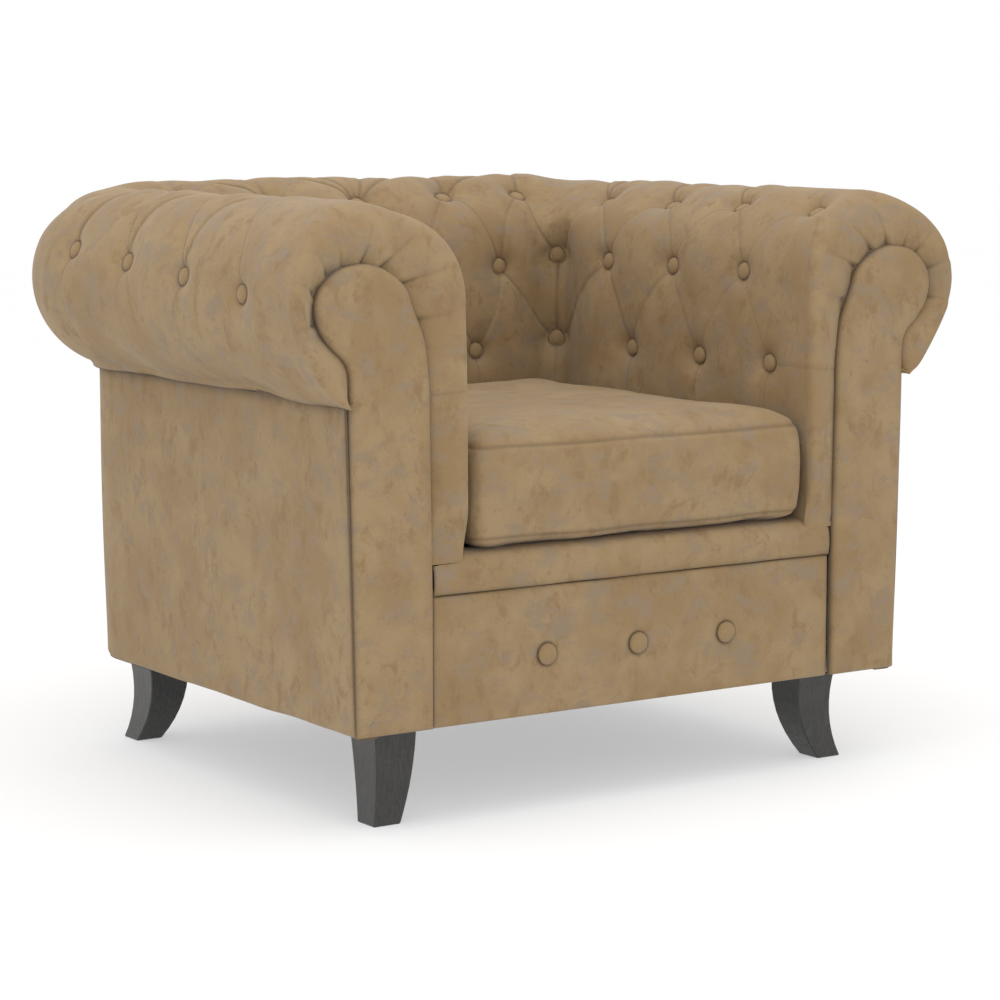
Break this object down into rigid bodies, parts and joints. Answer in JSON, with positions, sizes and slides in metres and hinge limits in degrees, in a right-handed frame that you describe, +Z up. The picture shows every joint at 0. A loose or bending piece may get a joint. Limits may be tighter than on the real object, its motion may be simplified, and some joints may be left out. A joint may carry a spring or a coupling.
{
  "type": "upholstered armchair",
  "caption": "Roll-arm armchair with deep-buttoned arms and back in one height, loose box seat cushion, buttoned front panel and black sabre legs.",
  "frame": {"origin": "centre of the chair's footprint on the floor", "axes": "+X to the right of someone facing the chair's front, -Y out of the front, +Z up"},
  "size_m": [1.014, 0.85, 0.761],
  "materials": {
    "suede_fabric": "matt suede-look microfibre in mottled tan with a soft nap",
    "frame_timber": "planed softwood, unfinished",
    "black_wood": "black stained and satin lacquered hardwood",
    "spring_steel": "drawn spring wire, lightly oiled",
    "zinc_steel": "zinc plated",
    "foam": "open cell polyurethane foam",
    "black_lining": "matt black non-woven lining cloth",
    "zip_metal": "antique nickel"
  },
  "bodies": {
    "chair": {"arm_front_board_left": "frame_timber", "arm_front_board_right": "frame_timber", "arm_pad_left": "suede_fabric", "arm_pad_right": "suede_fabric", "arm_stay_rail_left": "frame_timber", "arm_stay_rail_right": "frame_timber", "arm_top_rail_left": "frame_timber", "arm_top_rail_right": "frame_timber", "back_pad": "suede_fabric", "back_post_left": "frame_timber", "back_post_right": "frame_timber", "back_stay_rail": "frame_timber", "back_top_rail": "frame_timber", "corner_block_front_left": "frame_timber", "corner_block_front_right": "frame_timber", "corner_block_rear_left": "frame_timber", "corner_block_rear_right": "frame_timber", "dust_cover": "black_lining", "facing_left": "suede_fabric", "facing_right": "suede_fabric", "front_button_left": "suede_fabric", "front_button_middle": "suede_fabric", "front_button_right": "suede_fabric", "front_panel": "suede_fabric", "leg_bolt_front_left": "zinc_steel", "leg_bolt_front_right": "zinc_steel", "leg_bolt_rear_left": "zinc_steel", "leg_bolt_rear_right": "zinc_steel", "leg_front_left": "black_wood", "leg_front_right": "black_wood", "leg_rear_left": "black_wood", "leg_rear_right": "black_wood", "outside_arm_left": "suede_fabric", "outside_arm_right": "suede_fabric", "outside_back": "suede_fabric", "seat_deck": "black_lining", "seat_lip": "suede_fabric", "seat_rail_back": "frame_timber", "seat_rail_front": "frame_timber", "seat_rail_left": "frame_timber", "seat_rail_right": "frame_timber", "seat_spring_1": "spring_steel", "seat_spring_2": "spring_steel", "seat_spring_3": "spring_steel", "seat_spring_4": "spring_steel", "seat_spring_5": "spring_steel", "spring_clip_back_1": "spring_steel", "spring_clip_back_2": "spring_steel", "spring_clip_back_3": "spring_steel", "spring_clip_back_4": "spring_steel", "spring_clip_back_5": "spring_steel", "spring_clip_front_1": "spring_steel", "spring_clip_front_2": "spring_steel", "spring_clip_front_3": "spring_steel", "spring_clip_front_4": "spring_steel", "spring_clip_front_5": "spring_steel"},
    "cushion": {"cushion_cover": "suede_fabric", "cushion_core": "foam"},
    "zip": {"zip_slider": "zip_metal"}
  },
  "joints": [
    {"name": "cushion_lift", "type": "slide", "parent": "chair", "child": "cushion", "axis": [0, 0, 1], "range_m": [0, 0.45]},
    {"name": "zip_pull", "type": "slide", "parent": "cushion", "child": "zip", "axis": [-1, 0, 0], "range_m": [0, 0.4]}
  ]
}
